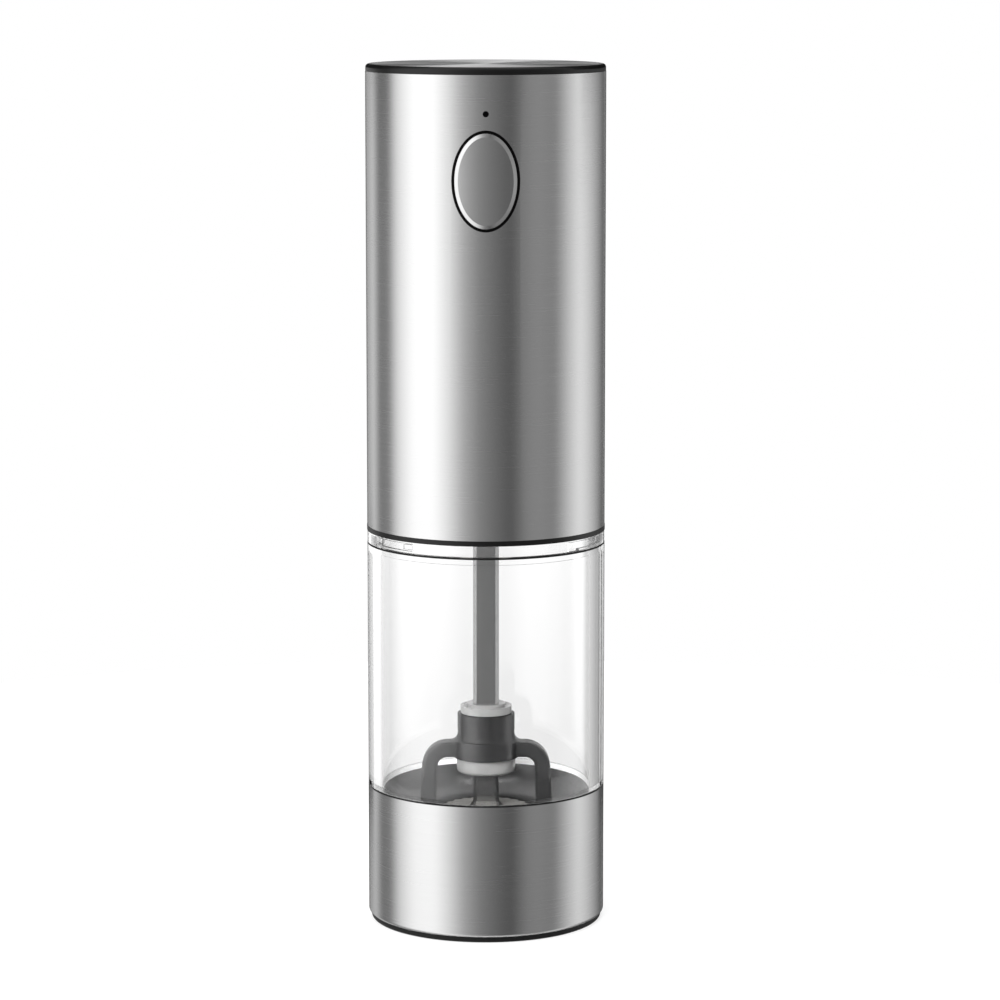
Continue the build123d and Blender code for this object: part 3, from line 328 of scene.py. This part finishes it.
mouldings = {
    "black_plastic": dict(colour=grey(0.004), grain=2600.0, rough=(0.30, 0.42), depth=0.02 * mm,
                          edge_gloss=0.05, specular_ior_level=0.3),
    "deep_black": dict(colour=grey(0.002), grain=2600.0, rough=(0.40, 0.55), depth=0.02 * mm,
                       specular_ior_level=0.05),
    "seal_rubber": dict(colour=grey(0.008), grain=3200.0, rough=(0.50, 0.70), depth=0.04 * mm,
                        specular_ior_level=0.2),
    "smoke_plastic": dict(colour=(0.001, 0.001, 0.0012), grain=1800.0, rough=(0.10, 0.18), depth=0.01 * mm,
                          specular_ior_level=0.05),
    "dark_plastic": dict(colour=(0.014, 0.014, 0.0145), grain=2400.0, rough=(0.21, 0.27), depth=0.01 * mm,
                         edge_gloss=0.05, specular_ior_level=1.0),
    "bush_plastic": dict(colour=(0.52, 0.52, 0.515), grain=1500.0, rough=(0.10, 0.18), depth=0.01 * mm,
                         spread=0.06, transmission_weight=0.25, ior=1.5),
    "chassis_plastic": dict(colour=grey(0.08), grain=2200.0, rough=(0.42, 0.56), depth=0.04 * mm),
    "gear_plastic": dict(colour=(0.66, 0.65, 0.60), grain=1800.0, rough=(0.32, 0.46), depth=0.02 * mm,
                         spread=0.05),
    "magnet": dict(colour=(0.08, 0.08, 0.085), grain=3000.0, rough=(0.55, 0.75), depth=0.05 * mm,
                   spread=0.20),
    "cell_wrap": dict(colour=(0.05, 0.16, 0.33), grain=700.0, rough=(0.22, 0.34), depth=0.02 * mm,
                      spread=0.08),
    "board_green": dict(colour=(0.02, 0.13, 0.06), grain=1500.0, rough=(0.28, 0.42), depth=0.03 * mm,
                        spread=0.25),
    "switch_plastic": dict(colour=grey(0.03), grain=2400.0, rough=(0.40, 0.55), depth=0.03 * mm),
    "led_lens": dict(colour=(0.80, 0.80, 0.76), grain=900.0, rough=(0.08, 0.16), depth=0.01 * mm, spread=0.05,
                     transmission_weight=0.6),
}
finishes = {"clear_plastic": clear("clear_plastic"), "ceramic": ceramic("ceramic")}
for name, look in metals.items():
    finishes[name] = brushed(name, **look)
for name, look in mouldings.items():
    finishes[name] = moulded(name, **look)

# Pieces whose finish differs from that of their material's other pieces
own_finishes = {
    # The base sleeve and the gasket carry painted light on their inner faces
    "base_sleeve": add_painted_light("steel_with_painted_light", finishes["steel"], sleeve_painted_light_radius),
    "seam_gasket": add_painted_light("rubber_with_painted_light", finishes["seal_rubber"], gasket_painted_light_radius),
    "button_bezel": finishes["deep_black"],
}

for part in frame["record"]["subparts"]:
    slots = frame["nodes"][part["node"]].data.materials
    slots.clear()
    slots.append(own_finishes.get(part["node"], finishes[part["material_slot"]]))


# Studio

def link_object(name, data):
    made = bpy.data.objects.new(name, data)
    bpy.context.scene.collection.objects.link(made)
    return made


def mesh_from(name, material, build):
    """A new object with a material, whose mesh is drawn by a function."""
    mesh = bpy.data.meshes.new(name)
    work = bmesh.new()
    build(work)
    work.to_mesh(mesh)
    work.free()
    mesh.materials.append(material)
    return link_object(name, mesh)


def white_floor():
    """A pale floor that shows as white but for the object's shadow; gloss sees the tent through it."""
    material, tree = bare_finish("floor")
    speck = noise(tree, even(floor_grain))
    matt = add(tree, "ShaderNodeBsdfDiffuse", {"Color": tones(tree, speck, grey(floor_tone - floor_spread),
                                                              grey(floor_tone + floor_spread))})
    white = add(tree, "ShaderNodeEmission", {"Strength": floor_white})
    through = add(tree, "ShaderNodeBsdfTransparent")
    path = add(tree, "ShaderNodeLightPath")
    seen = work_out(tree, "MAXIMUM", path.outputs["Is Camera Ray"], path.outputs["Is Transmission Ray"])
    shown = mix(tree, work_out(tree, "MULTIPLY", seen, floor_white_share), matt, white)
    show(tree, mix(tree, path.outputs["Is Glossy Ray"], shown, through))
    return material


def tent_cloth():
    """The tent's wall: panels of light and shade. Straight through the jar, its front shows as white."""
    material, tree = bare_finish("tent")
    place = add(tree, "ShaderNodeTexCoord")
    split = add(tree, "ShaderNodeSeparateXYZ", {0: place.outputs["Object"]})
    front = work_out(tree, "MULTIPLY", split.outputs["Y"], -1.0)
    angle = work_out(tree, "ARCTAN2", split.outputs["X"], front)
    ramp = add(tree, "ShaderNodeValToRGB", {"Fac": span(tree, angle, (0.0, 1.0), (-math.pi, math.pi))})
    stops = ramp.color_ramp.elements
    while len(stops) < len(tent_levels):
        stops.new(0.5)
    for stop, (degrees, level) in zip(stops, tent_levels):
        stop.position = (degrees + 180.0) / 360.0
        stop.color = (*grey(level), 1.0)
    strength = span(tree, split.outputs["Z"], (tent_strength * tent_shade_share, tent_strength),
                    tent_shade_heights)
    panels = add(tree, "ShaderNodeEmission", {"Color": ramp.outputs["Color"], "Strength": strength})
    white = add(tree, "ShaderNodeEmission")
    path = add(tree, "ShaderNodeLightPath")
    turns = work_out(tree, "SUBTRACT", path.outputs["Ray Depth"], path.outputs["Transmission Depth"])
    straight = work_out(tree, "LESS_THAN", turns, 0.5)
    ahead = work_out(tree, "LESS_THAN", split.outputs["Y"], 0.0)
    show(tree, mix(tree, work_out(tree, "MULTIPLY", straight, ahead), panels, white))
    return material


def card_cloth(name, level):
    """A card's plain cloth, faintly mottled."""
    material, tree = bare_finish(name)
    mottle = noise(tree, even(card_grain))
    cloth = tones(tree, mottle, grey(level * card_dark_share), grey(level))
    show(tree, add(tree, "ShaderNodeEmission", {"Color": cloth, "Strength": tent_strength}))
    return material


def draw_floor(work):
    bmesh.ops.create_circle(work, cap_ends=True, segments=tent_sides, radius=floor_radius)


def draw_wall(work, radius, start, end, low, top, steps):
    """Part of an upright round wall, between two angles from the camera's side, in degrees."""
    columns = []
    for k in range(steps + 1):
        angle = math.radians(start + (end - start) * k / steps)
        across, ahead = radius * math.sin(angle), -radius * math.cos(angle)
        columns.append((work.verts.new((across, ahead, low)), work.verts.new((across, ahead, top))))
    for (low_a, top_a), (low_b, top_b) in zip(columns, columns[1:]):
        work.faces.new((low_a, low_b, top_b, top_a))


floor = mesh_from("floor", white_floor(), draw_floor)

tent = mesh_from("light_tent", tent_cloth(),
                 lambda work: draw_wall(work, tent_radius, 0.0, 360.0, tent_low, tent_top, tent_sides))
tent.visible_camera = False
tent.visible_shadow = False

for name, (start, end, low, top, level) in cards.items():
    card = mesh_from(name, card_cloth(name, level),
                     lambda work: draw_wall(work, card_radius, start, end, low, top, card_steps))
    card.visible_camera = False
    card.visible_diffuse = False
    card.visible_transmission = False
    card.visible_shadow = False


def area_lamp(name, place, aim, width, watts):
    """A round lamp that lights the object but doesn't show in its gloss."""
    lamp = bpy.data.lights.new(name, "AREA")
    lamp.shape = "DISK"
    lamp.size = width
    lamp.energy = watts
    made = link_object(name, lamp)
    made.location = place
    made.rotation_euler = (aim - place).to_track_quat("-Z", "Y").to_euler()
    made.visible_glossy = False


area_lamp("ceiling_lamp", ceiling_place, Vector((0.0, 0.0, 0.0)), ceiling_width, ceiling_watts)
area_lamp("fill_lamp", fill_place, Vector((0.0, 0.0, cad_high.z / 2)), fill_width, fill_watts)

scene = bpy.context.scene
world = bpy.data.worlds.new("studio")
scene.world = world
world.use_nodes = True
background = world.node_tree.nodes["Background"]
background.inputs["Color"].default_value = (1.0, 1.0, 1.0, 1.0)
background.inputs["Strength"].default_value = 1.0
scene.view_settings.view_transform = "Standard"

# Camera
camera_data = bpy.data.cameras.new("camera")
camera_data.lens = camera_lens
camera_data.sensor_width = sensor_width
camera = link_object("camera", camera_data)
camera.location = camera_place
camera.rotation_euler = (camera_aim - camera_place).to_track_quat("-Z", "Y").to_euler()
scene.camera = camera
